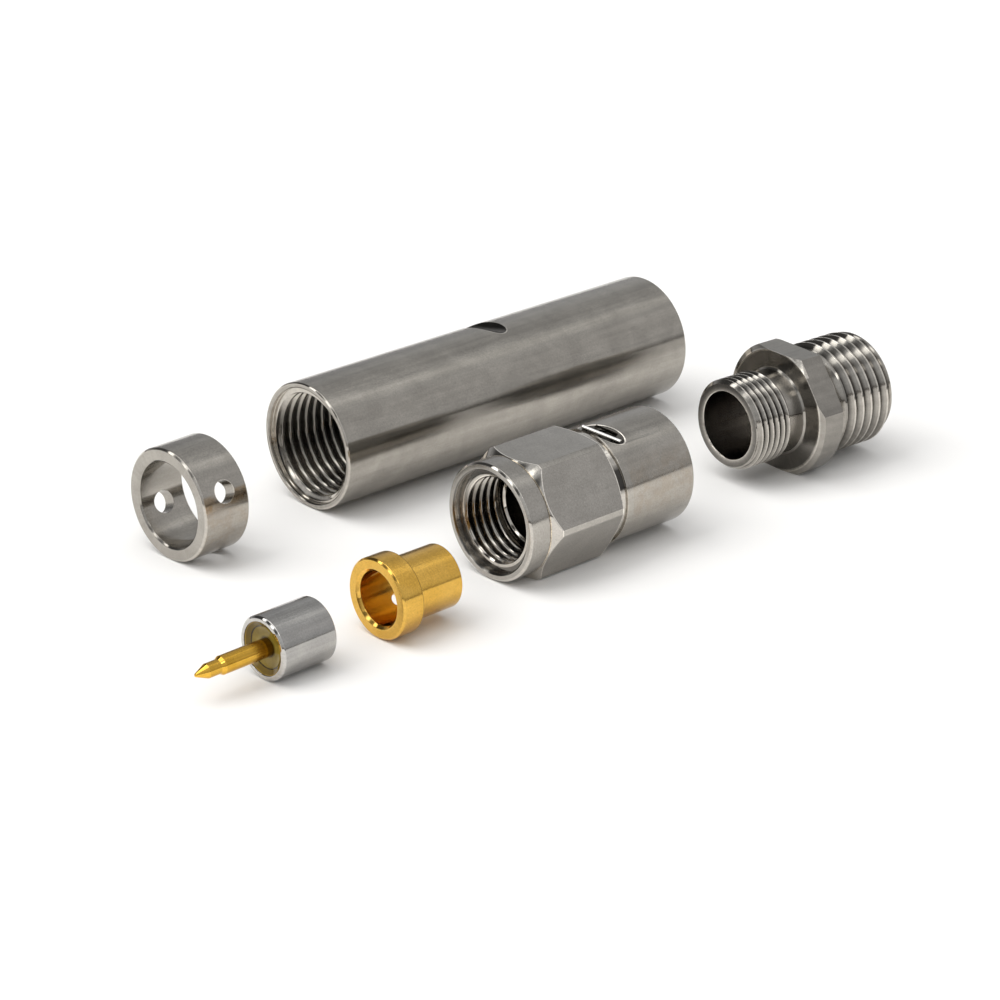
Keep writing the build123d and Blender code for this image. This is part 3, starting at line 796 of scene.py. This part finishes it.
def adapter_section(angle):
    r = flange_radius(angle)
    front_r, back_r = min(r, FLANGE_FACE), min(r, FLANGE_BACK)
    front = FLANGE_START + (r - front_r) * BACK_CONE
    back = FLANGE_END - (r - back_r)
    small = outer_thread(FRONT_THREAD, FRONT_PITCH, FRONT_FIRST, SMALL_R, SMALL_NECK, 0.26, angle,
                         neck_first=False)
    flange = softened([(SMALL_NECK, 3.17, 0.0), (SMALL_NECK, FLANGE_START - 0.30, 0.0),
                       (SMALL_NECK + 0.04, FLANGE_START - 0.15, 0.0),
                       (SMALL_NECK + 0.15, FLANGE_START - 0.04, 0.0),
                       (SMALL_NECK + 0.30, FLANGE_START, 0.0), (front_r, FLANGE_START, 0.0),
                       (r, front, 0.015), (r, back, 0.015), (back_r, FLANGE_END, 0.0),
                       (LARGE_NECK, FLANGE_END, 0.04), (LARGE_NECK, 7.23, 0.0)])
    large = outer_thread(BACK_THREAD, BACK_PITCH, BACK_FIRST, LARGE_R, LARGE_NECK, 0.20, angle,
                         neck_first=True)
    bore = softened([(BACK_BORE + 0.05, ADAPTER_END, 0.02), (BACK_BORE, ADAPTER_END - 0.05, 0.02),
                     (BACK_BORE, BACK_BORE_START, 0.0), (ADAPTER_BORE, BACK_BORE_START, 0.02),
                     (ADAPTER_BORE, 0.05, 0.03), (ADAPTER_BORE + 0.05, 0.0, 0.02)])
    return np.concatenate([plain(np.array([(2.75, 0.0)])), small, plain(flange), large, plain(bore)])


adapter = body_mesh("threaded_adapter_turned", adapter_section, flange_angles())
count = len(adapter.data.vertices)
co, threads = np.zeros(count * 3, np.float32), np.zeros(count, np.float32)
adapter.data.vertices.foreach_get("co", co)
adapter.data.attributes["thread"].data.foreach_get("value", threads)
in_front = co[1::3] < (FLANGE_START + FLANGE_END) / 2
for part, start, pitch in ((in_front, FRONT_FIRST, FRONT_PITCH), (~in_front, BACK_FIRST, BACK_PITCH)):
    adapter.data.attributes["thread"].data.foreach_set("value", threads * part)
    with_thread(adapter, "adapter", start, pitch, OUTER, -1.0)
done(adapter, "adapter", "adapter", "turned_steel", "kit", "threaded_adapter")

# ---- cross-drilled ring ----

RING_R, RING_BORE, RING_LEN, RING_BREAK = 3.84, 2.90, 3.70, 0.13

ring = turned("cross_drilled_ring_turned", [
    (RING_BORE + RING_BREAK, 0, 0.03), (RING_R - RING_BREAK, 0, 0.02), (RING_R, RING_BREAK, 0.02),
    (RING_R, RING_LEN - RING_BREAK, 0.04), (RING_R - RING_BREAK, RING_LEN, 0.03),
    (RING_BORE + RING_BREAK, RING_LEN, 0.02), (RING_BORE, RING_LEN - RING_BREAK, 0.03),
    (RING_BORE, RING_BREAK, 0.03)], 256)
cut(ring, *[drill(HOLE_R, HOLE_Y, turn, 2.0, 4.6) for turn in RING_HOLES])
done(ring, "ring", "ring", "turned_steel", "kit", "cross_drilled_ring")

# ---- ferrule ----

COLLAR_R, COLLAR_LEN = 2.65, 1.60
FERRULE_R, FERRULE_BORE, FERRULE_LEN = 2.08, 1.76, 5.25

ferrule = turned("ferrule_turned", [
    (FERRULE_BORE + 0.20, 0, 0.03), (COLLAR_R - 0.13, 0, 0.02), (COLLAR_R, 0.13, 0.03),
    (COLLAR_R, COLLAR_LEN - 0.04, 0.02), (COLLAR_R - 0.04, COLLAR_LEN, 0.01),
    (FERRULE_R, COLLAR_LEN, 0.01), (FERRULE_R, FERRULE_LEN - 0.06, 0.03),
    (FERRULE_R - 0.06, FERRULE_LEN, 0.02), (FERRULE_BORE + 0.04, FERRULE_LEN, 0.02),
    (FERRULE_BORE, FERRULE_LEN - 0.04, 0.01), (FERRULE_BORE, 0.20, 0.04)], 256)
cut(ferrule, drill(0.45, 2.77, -137.0, 1.2, 2.8))
done(ferrule, "ferrule", "ferrule", "gold_plate", "kit", "ferrule")

# ---- glass-sealed pin ----

SHELL_R, GLASS_R, PIN_R, TIP_R = 2.06, 1.71, 0.594, 0.465
SEAL_LEN, GLASS_END = 4.16, 3.86

shell = turned("seal_shell_turned", [
    (GLASS_R, 0.03, 0.02), (GLASS_R + 0.03, 0.0, 0.02), (SHELL_R - 0.14, 0, 0.03), (SHELL_R, 0.14, 0.04),
    (SHELL_R, SEAL_LEN - 0.07, 0.04), (SHELL_R - 0.07, SEAL_LEN, 0.03),
    (GLASS_R + 0.03, SEAL_LEN, 0.02), (GLASS_R, SEAL_LEN - 0.03, 0.0)], 192)
done(shell, "seal", "shell", "turned_steel", "kit", "seal_shell")


def dished(r_in, r_out, y_in, y_out, deep, count):
    """Face of the glass between pin and shell, as it froze."""
    t = np.linspace(0, 1, count)
    sag = (y_in * (1 - t) + y_out * t) + deep * np.sin(np.pi * t) * (1 - 0.35 * t)
    return [(r_in + (r_out - r_in) * s, y, 0.0) for s, y in zip(t, sag)]


front = dished(PIN_R, GLASS_R, 0.42, 0.10, 0.16, 24)
bead = turned("glass_bead_fused", front + [(GLASS_R, GLASS_END, 0.0), (PIN_R, GLASS_END, 0.0)], 128)
done(bead, "seal", "glass", "sealing_glass", "kit", "glass_bead")

pin = turned("centre_pin_turned", [
    (0.0, -5.13, 0.0), (0.05, -5.13, 0.02), (0.11, -5.08, 0.04), (TIP_R, -4.26, 0.02),
    (TIP_R, -3.39, 0.01), (PIN_R, -3.17, 0.012), (PIN_R, SEAL_LEN - 0.02, 0.01),
    (PIN_R - 0.02, SEAL_LEN, 0.0), (0.0, SEAL_LEN, 0.0)], 96)
done(pin, "seal", "pin", "gold_plate", "kit", "centre_pin")

# ---- floor, light and camera ----

FLOOR_DROP = 0.00001
ZENITH = (1.9, 1.9, 1.9)

bm = bmesh.new()
bmesh.ops.create_grid(bm, x_segments=1, y_segments=1, size=3.0)
floor_mesh = bpy.data.meshes.new("floor")
bm.to_mesh(floor_mesh)
bm.free()
floor_mesh.transform(Matrix.Translation((0, 0, -FLOOR_DROP)))
floor = bpy.data.objects.new("floor", floor_mesh)
bpy.context.scene.collection.objects.link(floor)
paper = bpy.data.materials.new("pale_floor")
paper.use_nodes = True
surface = paper.node_tree.nodes["Principled BSDF"].inputs
surface["Base Color"].default_value = (0.90, 0.888, 0.870, 1)
surface["Roughness"].default_value = 0.9
surface["Specular IOR Level"].default_value = 0.1
floor_mesh.materials.append(paper)

world = bpy.data.worlds.new("studio")
bpy.context.scene.world = world
world.use_nodes = True
w = world.node_tree
w.nodes.clear()
way = add(w, "ShaderNodeTexCoord").outputs["Generated"]
height = add(w, "ShaderNodeSeparateXYZ", {0: way}).outputs[2]
ramp = add(w, "ShaderNodeValToRGB", {0: height})
stops = ramp.color_ramp.elements
stops[0].color, stops[1].color = (0.15, 0.14, 0.13, 1), (*ZENITH, 1)
for place, colour in ((0.045, (0.18, 0.17, 0.16)), (0.075, (0.50, 0.505, 0.515)),
                      (0.30, (0.55, 0.56, 0.57)), (0.55, (0.60, 0.61, 0.62)),
                      (0.89, (0.68, 0.69, 0.70)), (0.93, ZENITH)):
    stops.new(place).color = (*colour, 1)


def direction(azimuth, elevation):
    """Azimuth 0 is the front, 90 the +X side."""
    a, e = math.radians(azimuth), math.radians(elevation)
    return Vector((math.sin(a) * math.cos(e), -math.cos(a) * math.cos(e), math.sin(e)))


def screen(colour, azimuth, elevation, inner, outer, tone):
    """A round screen in the studio, full inside its inner angle and gone at its outer one."""
    near = add(w, "ShaderNodeVectorMath", {0: way, 1: direction(azimuth, elevation)},
               operation="DOT_PRODUCT").outputs["Value"]
    rim, middle = math.cos(math.radians(outer)), math.cos(math.radians(inner))
    return blend_colour(w, span(w, near, rim, middle, 0.0, 1.0), colour, tone)


# Broad screens and dark cloths first, then the small bright lamps that the edges catch
SCREENS = (
    (140, 28, 8, 34, (0.63, 0.63, 0.635)),
    (-150, 46, 6, 26, (0.47, 0.475, 0.48)),
    (-82, 40, 22, 37, (0.06, 0.06, 0.06)),
    (-108, 16, 10, 24, (0.34, 0.34, 0.35)),
    (171, 50, 2, 10, (0.85, 0.85, 0.84)),
    (-27, 46, 5, 8, (0.07, 0.07, 0.07)),
    (14, 38, 5, 9, (0.09, 0.09, 0.09)),
    (-48, 42, 5, 7, (3.0, 3.0, 2.95)),
    (-5, 44, 5, 7, (2.6, 2.6, 2.55)),
    (-78, 63, 5, 9, (3.2, 3.2, 3.15)),
    (-11, 19, 5, 8, (2.4, 2.4, 2.35)),
    (52, 50, 5, 8, (4.0, 4.0, 3.95)),
)
sky = ramp.outputs[0]
for one in SCREENS:
    sky = screen(sky, *one)
w.links.new(add(w, "ShaderNodeBackground", {"Color": sky, "Strength": 1.0}).outputs[0],
            add(w, "ShaderNodeOutputWorld").inputs[0])


def sun(name, azimuth, elevation, strength, spread):
    """Far lamp; azimuth 0 shines from the front, 90 from the +X side."""
    lamp = bpy.data.lights.new(name, "SUN")
    lamp.energy, lamp.angle = strength, math.radians(spread)
    obj = bpy.data.objects.new(name, lamp)
    obj.rotation_euler = direction(azimuth, elevation).to_track_quat("Z", "Y").to_euler()
    obj.visible_glossy = False
    bpy.context.scene.collection.objects.link(obj)


sun("key", -42, 50, 1.65, 54)
sun("fill", 24, 36, 0.15, 24)

# The photograph's view, solved from the pieces' axes and rims
CAMERA_AZIMUTH, CAMERA_ELEVATION, CAMERA_AWAY, CAMERA_LENS = 47.58, 23.27, 0.21589, 115.056

camera_data = bpy.data.cameras.new("camera")
camera_data.sensor_width, camera_data.lens = 36.0, CAMERA_LENS
camera_data.clip_start, camera_data.clip_end = 0.01, 10.0
camera = bpy.data.objects.new("camera", camera_data)
target = Vector((-MIDDLE[0], -MIDDLE[1], 0)) * MM
away = direction(CAMERA_AZIMUTH, CAMERA_ELEVATION)
camera.location = target + away * CAMERA_AWAY
camera.rotation_euler = away.to_track_quat("Z", "Y").to_euler()
bpy.context.scene.collection.objects.link(camera)
bpy.context.scene.camera = camera
bpy.context.scene.view_settings.view_transform = "Standard"
